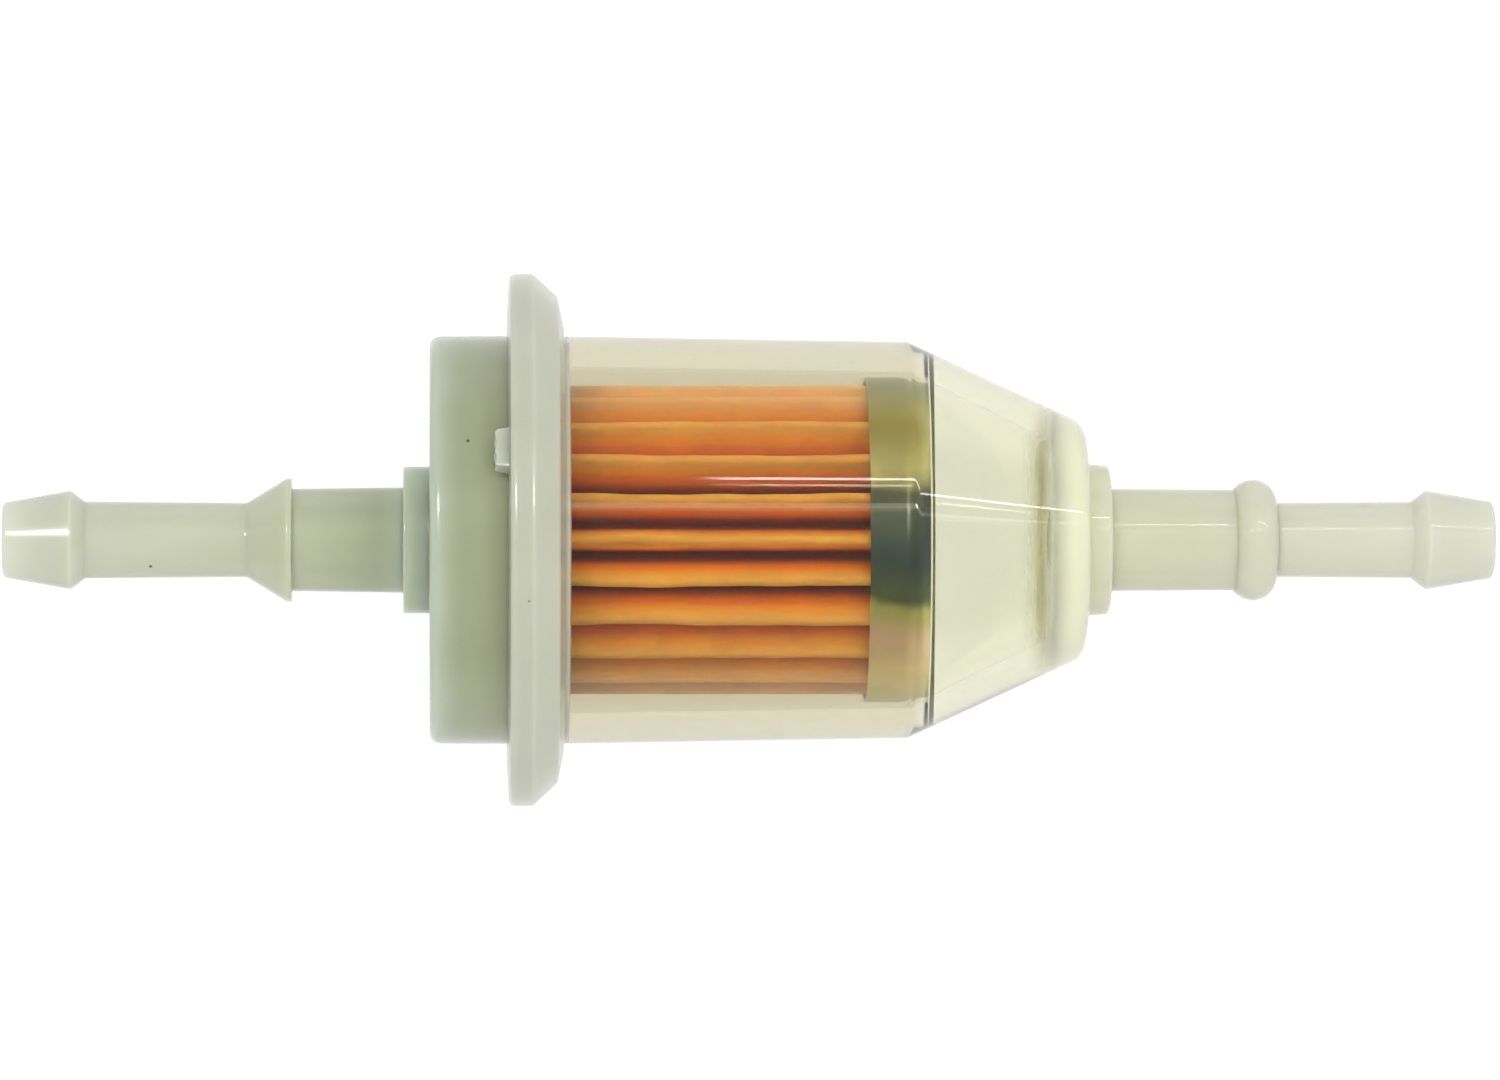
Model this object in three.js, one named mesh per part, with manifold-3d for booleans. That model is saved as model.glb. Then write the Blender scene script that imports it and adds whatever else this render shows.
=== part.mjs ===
// An inline fuel filter for small engines: a clear bowl and a milky cap, held together by a moulded ring,
// around a pleated paper element between two steel end caps. It pushes into the ends of two fuel hoses.
//
// Millimetres. The axis of the filter is X, with +X towards the bowl's spigot, the inlet. +Z is up.
// Places along the axis are counted from the joint between bowl and cap, and the group is moved at the end
// so that the origin is midway between the two spigot tips.
import * as THREE from "three";
import { mergeVertices } from "three/addons/utils/BufferGeometryUtils.js";
import Module from "manifold-3d";

// ---- Driving dimensions ----

// The least gap between neighbouring pieces.
const clearance = 0.3;
// Sides of everything turned about the axis.
const turnedSides = 36;

// Housing: bowl and cap.
const mouthRadius = 16.3;
const housingWall = 2.4;
const bowlStraightLength = 29.75;
const bowlDraft = 0.45;
const bowlConeLength = 14.15;
const bowlConeFall = 6.25;
const bowlEndRounding = 1.0;
const bowlEndWall = 3.0;
const ledgeDepth = 0.6;
const capDepth = 8.45;
const capCornerRadius = 0.8;
const flangeWidth = 1.9;
const flangeThickness = 0.9;

// The ring moulded over the two flanges, with the stub left by its moulding gate.
const ringRimWall = 2.75;
const ringSideWall = 0.9;
const ringEdgeRounding = 0.3;
const ringRimWidth = 1.7;
const ringChamferWidth = 2.0;
const ringChamferDepth = 1.85;
const gateStub = { height: 1.2, width: 3.0, thickness: 2.0, turn: THREE.MathUtils.degToRad(22) };

// Hose spigots: each has a stop collar, a stage for 8 mm hose and a stage for 6 mm hose. A rise is how far
// a collar, bead or barb stands out of the tube that it is on.
const largeTubeRadius = 4.1;
const largeTubeWall = 1.7;
const smallTubeRadius = 3.0;
const smallTubeWall = 1.2;
const smallBarbRise = 0.9;
const smallBarbLength = 5.4;
const tipFall = 0.1;
const tipRounding = 0.3;
const inlet = {
  collarRise: 1.9,
  collarLength: 1.95,
  collarRounding: 0.35,
  largeTubeLength: 9.65,
  beadRise: 0.75,
  beadLength: 3.9,
  smallTubeLength: 10.75,
  barbBackLength: 1.2,
};
const outlet = {
  collarRise: 1.75,
  collarLength: 2.1,
  largeTubeLength: 8.9,
  largeBarbRise: 0.8,
  largeBarbLand: 0.4,
  largeBarbLength: 3.2,
  smallTubeLength: 12.9,
  barbBackLength: 1.1,
};

// Inside the cap: the spigot that the element sits on, and its rubber seal.
const innerSpigotWall = 1.8;
const innerSpigotOverlap = 0.1;
const sealThickness = 1.5;
const sealShortfall = 0.6;
const sealLipWidth = 2.5;
const sealLipThickness = 0.7;

// The filter element. It leaves a gap for the fuel inside the bowl, and its blind end stands a little way
// into the bowl's cone, just short of the ledge inside.
const flowGap = 0.45;
const coneReach = 0.7;
const sheet = 0.3;
const endCapDepth = 4.3;
const endCapRounding = 0.6;
const neckLength = 3.6;
const adhesiveThickness = 1.2;
const paperThickness = 0.4;
const foldRadius = 0.3;
const pleats = 24;
const clipDepth = 1.8;
const centreTubeWall = 0.4;
const perforation = { radius: 1.5, sides: 8, perRow: 6, rows: 5, margin: 3.2 };

// ---- Derived places along the axis, from the joint ----

const halfJoint = clearance / 2;
const ringChannel = halfJoint + flangeThickness + clearance;
const ringFace = ringChannel + ringSideWall;
const capInnerFace = -capDepth + housingWall;
const bowlShoulder = bowlStraightLength;
const bowlEndFace = bowlStraightLength + bowlConeLength;

const sealLipStart = capInnerFace + clearance;
const sealLipEnd = sealLipStart + sealLipThickness;
const openPlateOuter = sealLipEnd + clearance;
const openPlateInner = openPlateOuter + sheet;
const openAdhesiveStart = openPlateInner + clearance;
const paperStart = openAdhesiveStart + adhesiveThickness + clearance;
const blindPlateOuter = bowlShoulder + coneReach;
const blindPlateInner = blindPlateOuter - sheet;
const blindAdhesiveStart = blindPlateInner - clearance - adhesiveThickness;
const paperEnd = blindAdhesiveStart - clearance;
const openSkirtEdge = openPlateOuter + endCapDepth;
const blindSkirtEdge = blindPlateOuter - endCapDepth;
const neckEnd = openPlateOuter + neckLength;

// ---- Derived radii ----

const flangeRadius = mouthRadius + flangeWidth;
const ringChannelRadius = flangeRadius + clearance;
const ringRadius = ringChannelRadius + ringRimWall;
const largeBore = largeTubeRadius - largeTubeWall;
const smallBore = smallTubeRadius - smallTubeWall;
const tipRadius = smallTubeRadius - tipFall;

// The element, from the cap's inner spigot outwards and from the bowl's wall inwards.
const innerSpigotRadius = largeBore + innerSpigotWall;
const sealInnerRadius = innerSpigotRadius + clearance;
const sealOuterRadius = sealInnerRadius + sealThickness;
const neckInnerRadius = sealOuterRadius + clearance;
const neckOuterRadius = neckInnerRadius + sheet;
const centreTubeInner = neckOuterRadius + clearance;
const centreTubeOuter = centreTubeInner + centreTubeWall;
const paperInnerRadius = centreTubeOuter + clearance;
const elementRadius = mouthRadius - bowlDraft - housingWall - flowGap;
const endCapInnerRadius = elementRadius - sheet;
const paperOuterRadius = endCapInnerRadius - clearance;

// ---- Helpers ----

const wasm = await Module();
wasm.setup();

// A closed outline of [place along the axis, radius] points, turned about the X axis. The outline may run
// either way round: it is put in the order that makes the faces point outwards.
function turned(outline) {
  const points = outline.map(([along, radius]) => new THREE.Vector2(radius, along));
  if (THREE.ShapeUtils.isClockWise(points)) points.reverse();
  return new THREE.LatheGeometry(points, turnedSides).rotateZ(-Math.PI / 2);
}

// Points on an arc about [along, radius], from one angle to another in degrees, 0 being along +X.
function arc([along, radius], arcRadius, fromDegrees, toDegrees, steps) {
  const points = [];
  for (let i = 0; i <= steps; i++) {
    const angle = THREE.MathUtils.degToRad(fromDegrees + ((toDegrees - fromDegrees) * i) / steps);
    points.push([along + arcRadius * Math.cos(angle), radius + arcRadius * Math.sin(angle)]);
  }
  return points;
}

// A three.js geometry as a manifold-3d solid.
function solidFrom(geometry) {
  const bare = geometry.clone().deleteAttribute("normal").deleteAttribute("uv");
  const merged = mergeVertices(bare, 1e-4);
  const mesh = new wasm.Mesh({
    numProp: 3,
    vertProperties: merged.attributes.position.array,
    triVerts: new Uint32Array(merged.index.array),
  });
  return new wasm.Manifold(mesh);
}

// A manifold-3d solid as a three.js geometry with flat faces.
function geometryFrom(solid) {
  const mesh = solid.getMesh();
  const geometry = new THREE.BufferGeometry();
  geometry.setAttribute("position", new THREE.BufferAttribute(mesh.vertProperties, 3));
  geometry.setIndex(new THREE.BufferAttribute(mesh.triVerts, 1));
  const flat = geometry.toNonIndexed();
  flat.computeVertexNormals();
  return flat;
}

// The end of either spigot, from the root of its last barb: out along the barb, round the tip, to the bore.
// direction is +1 towards +X and -1 towards -X.
function spigotTip(barbRoot, backLength, direction) {
  const crest = barbRoot + direction * backLength;
  const tip = crest + direction * smallBarbLength;
  return [
    [crest, smallTubeRadius + smallBarbRise],
    [tip - direction * tipRounding, tipRadius],
    [tip, tipRadius - tipRounding],
    [tip, smallBore],
  ];
}

// ---- Housing ----

// The clear bowl with the inlet spigot: one moulding.
const inletCollarEnd = bowlEndFace + inlet.collarLength;
const inletBeadStart = inletCollarEnd + inlet.largeTubeLength;
const inletBeadEnd = inletBeadStart + inlet.beadLength;
const inletBarbRoot = inletBeadEnd + inlet.smallTubeLength;
const inletTip = inletBarbRoot + inlet.barbBackLength + smallBarbLength;

// The bead is part of a sphere that meets the two tubes where it starts and ends.
function inletBead(steps) {
  const centre = (inletBeadStart + inletBeadEnd) / 2;
  const points = [];
  for (let i = 0; i <= steps; i++) {
    const share = i / steps;
    const along = inletBeadStart + share * inlet.beadLength;
    const rootRadius = THREE.MathUtils.lerp(largeTubeRadius, smallTubeRadius, share);
    const rise = 1 - ((2 * (along - centre)) / inlet.beadLength) ** 2;
    const crestRadius = largeTubeRadius + inlet.beadRise;
    points.push([along, rootRadius + (crestRadius - rootRadius) * Math.sqrt(Math.max(rise, 0))]);
  }
  return points;
}

function bowl() {
  const shoulderRadius = mouthRadius - bowlDraft;
  const coneRun = bowlConeLength - bowlEndRounding;
  const coneAngle = Math.atan2(bowlConeFall, coneRun);
  const ledge = blindPlateOuter + clearance;
  const ledgeOuterRadius = shoulderRadius - housingWall;
  const ledgeInnerRadius = ledgeOuterRadius - ledgeDepth;
  const innerEnd = bowlEndFace - bowlEndWall;
  const innerEndRadius = ledgeInnerRadius - ((innerEnd - ledge) * bowlConeFall) / coneRun;
  const endRoundingCentre = [bowlEndFace - bowlEndRounding, shoulderRadius - bowlConeFall - bowlEndRounding];
  const coneDegrees = THREE.MathUtils.radToDeg(coneAngle);
  const collarRadius = largeTubeRadius + inlet.collarRise;
  const collarEdge = [inletCollarEnd - inlet.collarRounding, collarRadius - inlet.collarRounding];
  return turned([
    [halfJoint, mouthRadius - housingWall],
    [ledge, ledgeOuterRadius],
    [ledge, ledgeInnerRadius],
    [innerEnd, innerEndRadius],
    [innerEnd, largeBore],
    [inletBeadStart, largeBore],
    [inletBeadEnd, smallBore],
    ...spigotTip(inletBarbRoot, inlet.barbBackLength, 1).reverse(),
    [inletBarbRoot, smallTubeRadius],
    ...inletBead(8).reverse(),
    [inletCollarEnd, largeTubeRadius],
    ...arc(collarEdge, inlet.collarRounding, 0, 90, 2),
    [bowlEndFace, collarRadius],
    ...arc(endRoundingCentre, bowlEndRounding, 0, 90 - coneDegrees, 3),
    [bowlShoulder, shoulderRadius],
    [halfJoint + flangeThickness, mouthRadius],
    [halfJoint + flangeThickness, flangeRadius],
    [halfJoint, flangeRadius],
    [halfJoint, mouthRadius - housingWall],
  ]);
}

// The milky cap with the outlet spigot, and the short spigot inside it that carries the element.
const outletCollarEnd = -capDepth - outlet.collarLength;
const outletBarbBack = outletCollarEnd - outlet.largeTubeLength;
const outletSmallTubeStart = outletBarbBack - outlet.largeBarbLand - outlet.largeBarbLength;
const outletBarbRoot = outletSmallTubeStart - outlet.smallTubeLength;
const outletTip = outletBarbRoot - outlet.barbBackLength - smallBarbLength;

function cap() {
  const innerSpigotEnd = neckEnd + innerSpigotOverlap;
  const corner = [-capDepth + capCornerRadius, mouthRadius - capCornerRadius];
  const collarRadius = largeTubeRadius + outlet.collarRise;
  const largeBarbRadius = largeTubeRadius + outlet.largeBarbRise;
  return turned([
    [-halfJoint, mouthRadius - housingWall],
    [-halfJoint, flangeRadius],
    [-halfJoint - flangeThickness, flangeRadius],
    [-halfJoint - flangeThickness, mouthRadius],
    ...arc(corner, capCornerRadius, 90, 180, 3),
    [-capDepth, collarRadius],
    [outletCollarEnd, collarRadius],
    [outletCollarEnd, largeTubeRadius],
    [outletBarbBack, largeTubeRadius],
    [outletBarbBack, largeBarbRadius],
    [outletBarbBack - outlet.largeBarbLand, largeBarbRadius],
    [outletSmallTubeStart, smallTubeRadius],
    [outletBarbRoot, smallTubeRadius],
    ...spigotTip(outletBarbRoot, outlet.barbBackLength, -1),
    [outletSmallTubeStart, smallBore],
    [outletBarbBack, largeBore],
    [innerSpigotEnd, largeBore],
    [innerSpigotEnd, innerSpigotRadius],
    [capInnerFace, innerSpigotRadius],
    [capInnerFace, mouthRadius - housingWall],
    [-halfJoint, mouthRadius - housingWall],
  ]);
}

// The joint ring, moulded around both flanges so that neither half can come off.
function jointRing() {
  const innerRadius = mouthRadius + clearance;
  const rimStart = -ringFace + ringEdgeRounding;
  const rimEnd = rimStart + ringRimWidth;
  const ring = turned([
    [-ringFace, innerRadius],
    [-ringChannel, innerRadius],
    [-ringChannel, ringChannelRadius],
    [ringChannel, ringChannelRadius],
    [ringChannel, innerRadius],
    [ringFace, innerRadius],
    [rimEnd + ringChamferWidth, ringRadius - ringChamferDepth],
    [rimEnd, ringRadius],
    [rimStart, ringRadius],
    [-ringFace, ringRadius - ringEdgeRounding],
    [-ringFace, innerRadius],
  ]);
  const rooted = gateStub.height + ringSideWall / 2;
  const stub = new THREE.BoxGeometry(rooted, gateStub.width, gateStub.thickness)
    .translate(-ringFace - gateStub.height + rooted / 2, 0, ringChannelRadius)
    .rotateX(-gateStub.turn);
  return geometryFrom(solidFrom(ring).add(solidFrom(stub)));
}

// ---- Filter element ----

// The middle line of the folded paper: a round fold at each ridge and valley, joined by straight flanks.
// Each point is [y, z, normal y, normal z], with the normals on the outer face of the paper.
const foldOuterRadius = foldRadius + paperThickness / 2;
const ridgeCentre = paperOuterRadius - foldOuterRadius;
const valleyCentre = paperInnerRadius + foldOuterRadius;
const halfPitch = Math.PI / pleats;

function flankSlope() {
  const across = valleyCentre * Math.sin(halfPitch);
  const inwards = ridgeCentre - valleyCentre * Math.cos(halfPitch);
  return Math.atan2(across, inwards) - Math.asin((2 * foldRadius) / Math.hypot(across, inwards));
}

function paperMiddleLine() {
  const slope = flankSlope();
  const ridgeTurn = Math.PI / 2 - slope;
  const valleyTurn = ridgeTurn - halfPitch;
  const line = [];
  for (let pleat = 0; pleat < pleats; pleat++) {
    const ridge = pleat * 2 * halfPitch;
    for (const turn of [-ridgeTurn, 0, ridgeTurn]) {
      const out = [Math.sin(ridge + turn), Math.cos(ridge + turn)];
      const y = ridgeCentre * Math.sin(ridge) + foldRadius * out[0];
      const z = ridgeCentre * Math.cos(ridge) + foldRadius * out[1];
      line.push([y, z, out[0], out[1]]);
    }
    const valley = ridge + halfPitch;
    for (const turn of [valleyTurn, 0, -valleyTurn]) {
      const out = [Math.sin(valley + turn), Math.cos(valley + turn)];
      const y = valleyCentre * Math.sin(valley) - foldRadius * out[0];
      const z = valleyCentre * Math.cos(valley) - foldRadius * out[1];
      line.push([y, z, out[0], out[1]]);
    }
  }
  return line;
}

// The pleated paper: the middle line with its thickness, drawn out along the axis.
function pleatedPaper() {
  const line = paperMiddleLine();
  const edge = (offset) =>
    line.map(([y, z, ny, nz]) => new THREE.Vector2(-(z + offset * nz), y + offset * ny));
  const section = new THREE.Shape(edge(paperThickness / 2));
  section.holes.push(new THREE.Path(edge(-paperThickness / 2).reverse()));
  return new THREE.ExtrudeGeometry(section, { depth: paperEnd - paperStart, bevelEnabled: false })
    .rotateY(Math.PI / 2)
    .translate(paperStart, 0, 0);
}

// The strip folded over the lowest pleat, which closes the paper into a ring.
function seamClip() {
  const top = elementRadius;
  const foot = top - sheet - clipDepth;
  const innerHalf = foldOuterRadius + clearance + clipDepth * Math.tan(flankSlope());
  const outerHalf = innerHalf + sheet;
  const section = new THREE.Shape([
    new THREE.Vector2(top, -outerHalf),
    new THREE.Vector2(top, outerHalf),
    new THREE.Vector2(foot, outerHalf),
    new THREE.Vector2(foot, innerHalf),
    new THREE.Vector2(top - sheet, innerHalf),
    new THREE.Vector2(top - sheet, -innerHalf),
    new THREE.Vector2(foot, -innerHalf),
    new THREE.Vector2(foot, -outerHalf),
  ]);
  const lowestRidge = Math.floor(pleats / 2) * 2 * halfPitch;
  const start = openSkirtEdge + clearance;
  const depth = blindSkirtEdge - clearance - start;
  return new THREE.ExtrudeGeometry(section, { depth, bevelEnabled: false })
    .rotateY(Math.PI / 2)
    .rotateX(Math.PI - lowestRidge)
    .translate(start, 0, 0);
}

// The closed steel cup on the inlet end of the element.
function blindEndCap() {
  const corner = [blindPlateOuter - endCapRounding, elementRadius - endCapRounding];
  return turned([
    [blindPlateInner, 0],
    [blindPlateInner, endCapInnerRadius],
    [blindSkirtEdge, endCapInnerRadius],
    [blindSkirtEdge, elementRadius],
    ...arc(corner, endCapRounding, 90, 0, 3),
    [blindPlateOuter, 0],
  ]);
}

// The steel cup on the outlet end, with a neck that the seal fits in.
function openEndCap() {
  const corner = [openPlateOuter + endCapRounding, elementRadius - endCapRounding];
  return turned([
    [openPlateOuter, neckInnerRadius],
    [neckEnd, neckInnerRadius],
    [neckEnd, neckOuterRadius],
    [openPlateInner, neckOuterRadius],
    [openPlateInner, endCapInnerRadius],
    [openSkirtEdge, endCapInnerRadius],
    [openSkirtEdge, elementRadius],
    ...arc(corner, endCapRounding, 90, 180, 3),
    [openPlateOuter, neckInnerRadius],
  ]);
}

// The adhesive that the paper's ends are bedded in: a disc in the blind cup and a washer in the open one.
function adhesive(start, innerRadius) {
  const outerRadius = endCapInnerRadius - clearance;
  const end = start + adhesiveThickness;
  const outline = [
    [start, innerRadius],
    [end, innerRadius],
    [end, outerRadius],
    [start, outerRadius],
    [start, innerRadius],
  ];
  return turned(innerRadius > 0 ? outline : outline.slice(1));
}

// The perforated steel tube that keeps the pleats from collapsing inwards.
function centreTube() {
  let tube = solidFrom(turned([
    [paperStart, centreTubeInner],
    [paperEnd, centreTubeInner],
    [paperEnd, centreTubeOuter],
    [paperStart, centreTubeOuter],
    [paperStart, centreTubeInner],
  ]));
  const { radius, sides, perRow, rows, margin } = perforation;
  const reach = 2 * centreTubeOuter;
  const rowPitch = (paperEnd - paperStart - 2 * margin) / (rows - 1);
  for (let row = 0; row < rows; row++) {
    for (let hole = 0; hole < perRow; hole++) {
      const turn = ((hole + (row % 2) / 2) * 2 * Math.PI) / perRow;
      const punch = new THREE.CylinderGeometry(radius, radius, reach, sides)
        .translate(0, reach / 2, 0)
        .rotateX(turn)
        .translate(paperStart + margin + row * rowPitch, 0, 0);
      tube = tube.subtract(solidFrom(punch));
    }
  }
  return geometryFrom(tube);
}

// The rubber seal: a sleeve between inner spigot and neck, with a lip between cup and cap.
function sealingRing() {
  const sleeveEnd = neckEnd - sealShortfall;
  const lipRadius = sealOuterRadius + sealLipWidth;
  return turned([
    [sealLipStart, sealInnerRadius],
    [sleeveEnd, sealInnerRadius],
    [sleeveEnd, sealOuterRadius],
    [sealLipEnd, sealOuterRadius],
    [sealLipEnd, lipRadius],
    [sealLipStart, lipRadius],
    [sealLipStart, sealInnerRadius],
  ]);
}

// ---- Materials and assembly ----

const looks = {
  clearPlastic: { color: "#ded9bd", roughness: 0.1, metalness: 0, transparent: true, opacity: 0.35 },
  milkyPlastic: { color: "#c6cbac", roughness: 0.35, metalness: 0 },
  whitePlastic: { color: "#d8dcc8", roughness: 0.35, metalness: 0 },
  filterPaper: { color: "#cd7933", roughness: 0.9, metalness: 0 },
  zincSteel: { color: "#8f9266", roughness: 0.35, metalness: 0.9 },
  bareSteel: { color: "#9c9e9b", roughness: 0.4, metalness: 0.9 },
  adhesive: { color: "#c9823a", roughness: 0.6, metalness: 0 },
  rubber: { color: "#26272a", roughness: 0.8, metalness: 0 },
};

const filter = new THREE.Group();

function addPiece(name, geometry, look) {
  const piece = new THREE.Mesh(geometry, new THREE.MeshStandardMaterial(looks[look]));
  piece.name = name;
  filter.add(piece);
}

addPiece("bowl", bowl(), "clearPlastic");
addPiece("cap", cap(), "milkyPlastic");
addPiece("joint_ring", jointRing(), "whitePlastic");
addPiece("pleated_paper", pleatedPaper(), "filterPaper");
addPiece("seam_clip", seamClip(), "bareSteel");
addPiece("blind_end_cap", blindEndCap(), "zincSteel");
addPiece("open_end_cap", openEndCap(), "zincSteel");
addPiece("adhesive_blind_end", adhesive(blindAdhesiveStart, 0), "adhesive");
addPiece("adhesive_open_end", adhesive(openAdhesiveStart, neckOuterRadius + clearance), "adhesive");
addPiece("centre_tube", centreTube(), "bareSteel");
addPiece("sealing_ring", sealingRing(), "rubber");

filter.position.x = -(inletTip + outletTip) / 2;

export default filter;
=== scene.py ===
"""An inline fuel filter: clear bowl, milky cap, moulded joint ring and pleated paper element, on white."""
from math import radians

import bpy
import numpy as np
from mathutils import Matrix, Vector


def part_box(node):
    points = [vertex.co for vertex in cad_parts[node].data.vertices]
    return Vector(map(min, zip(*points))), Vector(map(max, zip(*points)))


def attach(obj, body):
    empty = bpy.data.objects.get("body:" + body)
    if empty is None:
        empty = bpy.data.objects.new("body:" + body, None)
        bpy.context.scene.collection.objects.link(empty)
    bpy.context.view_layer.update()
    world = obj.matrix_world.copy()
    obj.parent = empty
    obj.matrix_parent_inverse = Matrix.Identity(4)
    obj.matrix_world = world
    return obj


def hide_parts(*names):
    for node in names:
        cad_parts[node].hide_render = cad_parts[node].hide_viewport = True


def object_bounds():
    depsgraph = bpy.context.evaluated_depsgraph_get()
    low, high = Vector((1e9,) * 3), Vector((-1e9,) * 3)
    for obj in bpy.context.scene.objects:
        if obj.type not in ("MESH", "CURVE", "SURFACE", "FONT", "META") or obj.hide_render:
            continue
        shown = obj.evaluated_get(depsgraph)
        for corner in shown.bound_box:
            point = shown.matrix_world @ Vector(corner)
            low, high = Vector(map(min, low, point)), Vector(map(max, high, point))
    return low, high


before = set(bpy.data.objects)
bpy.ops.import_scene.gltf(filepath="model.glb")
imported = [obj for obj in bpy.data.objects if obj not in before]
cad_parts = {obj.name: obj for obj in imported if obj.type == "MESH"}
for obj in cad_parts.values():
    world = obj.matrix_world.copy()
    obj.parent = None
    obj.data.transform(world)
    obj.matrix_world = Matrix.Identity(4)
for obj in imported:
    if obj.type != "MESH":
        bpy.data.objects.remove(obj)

cad_box = [list(corner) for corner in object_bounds()]
MM = 0.001


# ---- Bowl ----
# The clear half of the housing: a drafted cup, a cone and the inlet spigot, injection-moulded in one piece
# of natural polyamide. It is clear where the wall is even, and milky where it is thick and beside the ring.

def arc(along, radius, arc_radius, start, end, count):
    """Outline rows on an arc of radius a round (along, radius), for t from start to end degrees.

    Each row is (along + a*cos(t), radius + a*sin(t), 0), and the 0 leaves it without a rounding of its own.
    """
    angle = np.radians(np.linspace(start, end, count))
    rows = [along + arc_radius * np.cos(angle), radius + arc_radius * np.sin(angle), np.zeros(count)]
    return np.stack(rows, axis=1).tolist()


def rounded(corners, steps=7):
    """Points and outward normals of a closed outline with rows (along, radius, rounding) as its corners.

    With d the direction into a corner, t the angle it turns by, r its rounding and n across d towards
    the turn, the arc is corner - r*tan(t/2)*d + r*(sin(s)*d + (1 - cos(s))*n), for s from 0 to t. Its
    tangent is cos(s)*d + sin(s)*n. A corner with no rounding is one point, with the tangent halfway
    through the turn.
    """
    corners = np.asarray(corners, float)
    points, rounding = corners[:, :2], corners[:, 2:]
    back, onward = points - np.roll(points, 1, axis=0), np.roll(points, -1, axis=0) - points
    area = (points[:, 0] * onward[:, 1] - points[:, 1] * onward[:, 0]).sum()
    d = back / np.linalg.norm(back, axis=1, keepdims=True)
    e = onward / np.linalg.norm(onward, axis=1, keepdims=True)
    turn = np.arctan2(d[:, 0] * e[:, 1] - d[:, 1] * e[:, 0], (d * e).sum(1))[:, None, None]
    across = (np.stack([-d[:, 1], d[:, 0]], axis=1) * np.sign(turn[:, 0]))[:, None]
    start = (points - rounding * np.tan(np.abs(turn[:, 0]) / 2) * d)[:, None]
    s = np.abs(turn) * np.linspace(0, 1, steps)[None, :, None]
    bends = start + rounding[:, None] * (np.sin(s) * d[:, None] + (1 - np.cos(s)) * across)
    tangents = np.cos(s) * d[:, None] + np.sin(s) * across
    kept = np.ones((len(corners), steps), bool)
    kept[rounding[:, 0] == 0] = np.arange(steps) == steps // 2
    tangents = tangents[kept] * np.sign(area)
    return bends[kept], np.stack([tangents[:, 1], -tangents[:, 0]], axis=1)


def grid_mesh(name, grid, normals=None):
    """An object with a closed mesh over a (rows, columns, 3) grid that joins up with itself both ways.

    Cell (i, j) gives the triangles (i, j), (i+1, j), (i+1, j+1) and (i, j), (i+1, j+1), (i, j+1). Points on
    the X axis count as one for each column, and triangles that this leaves without a side are dropped.
    """
    rows, columns = grid.shape[:2]
    index = np.arange(rows * columns).reshape(rows, columns)
    on_axis = np.hypot(grid[..., 1], grid[..., 2]).max(0) < 1e-9
    index[:, on_axis] = index[0, on_axis]
    down, right = np.roll(index, -1, axis=0), np.roll(index, -1, axis=1)
    corner = np.roll(down, -1, axis=1)
    triangles = np.concatenate([np.stack([index, down, corner], -1), np.stack([index, corner, right], -1)])
    triangles = triangles.reshape(-1, 3)
    sides = np.roll(triangles, -1, axis=1) != triangles
    triangles = triangles[sides.all(1)]
    used, triangles = np.unique(triangles, return_inverse=True)
    triangles = triangles.reshape(-1, 3)
    points = grid.reshape(-1, 3)[used]
    a, b, c = (points[triangles[:, k]] for k in range(3))
    if (a * np.cross(b, c)).sum() < 0:
        triangles = triangles[:, ::-1]
    mesh = bpy.data.meshes.new(name)
    mesh.vertices.add(len(points))
    mesh.vertices.foreach_set("co", points.ravel())
    mesh.loops.add(triangles.size)
    mesh.loops.foreach_set("vertex_index", triangles.ravel())
    mesh.polygons.add(len(triangles))
    mesh.polygons.foreach_set("loop_start", np.arange(0, triangles.size, 3))
    mesh.update(calc_edges=True)
    mesh.validate()
    mesh.shade_smooth()
    if normals is None:
        mesh.set_sharp_from_angle(angle=radians(40))
    else:
        mesh.normals_split_custom_set_from_vertices(normals.reshape(-1, 3)[used])
    piece = bpy.data.objects.new(name, mesh)
    bpy.context.scene.collection.objects.link(piece)
    return piece


def turned(name, corners, sides=160):
    """The outline's corners, in millimetres, turned about the X axis.

    A point (along, radius) at the angle t is (along, radius*sin(t), radius*cos(t)), and a normal likewise.
    """
    outline, outward = rounded(corners)
    angle = np.linspace(0, 2 * np.pi, sides, endpoint=False)[:, None]

    def swept(profile):
        along = np.repeat(profile[None, :, 0], sides, axis=0)
        return np.stack([along, profile[:, 1] * np.sin(angle), profile[:, 1] * np.cos(angle)], axis=-1)

    return grid_mesh(name, swept(outline) * MM, swept(outward))


bowl_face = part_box("bowl")[0].x / MM
inlet_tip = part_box("bowl")[1].x / MM
mouth_radius = 16.3
flange_radius, flange_thickness = 18.2, 0.9
small_bore, large_bore = 1.8, 2.4
shoulder = bowl_face + 29.6
ledge = bowl_face + 30.6
end_face = inlet_tip - 32.85
inner_end = end_face - 3.0
collar_end = inlet_tip - 30.9
bead_start = inlet_tip - 21.2
bead_centre = inlet_tip - 19.3
bead_end = inlet_tip - 17.4
barb_root = inlet_tip - 6.6
barb_crest = inlet_tip - 5.4

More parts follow.
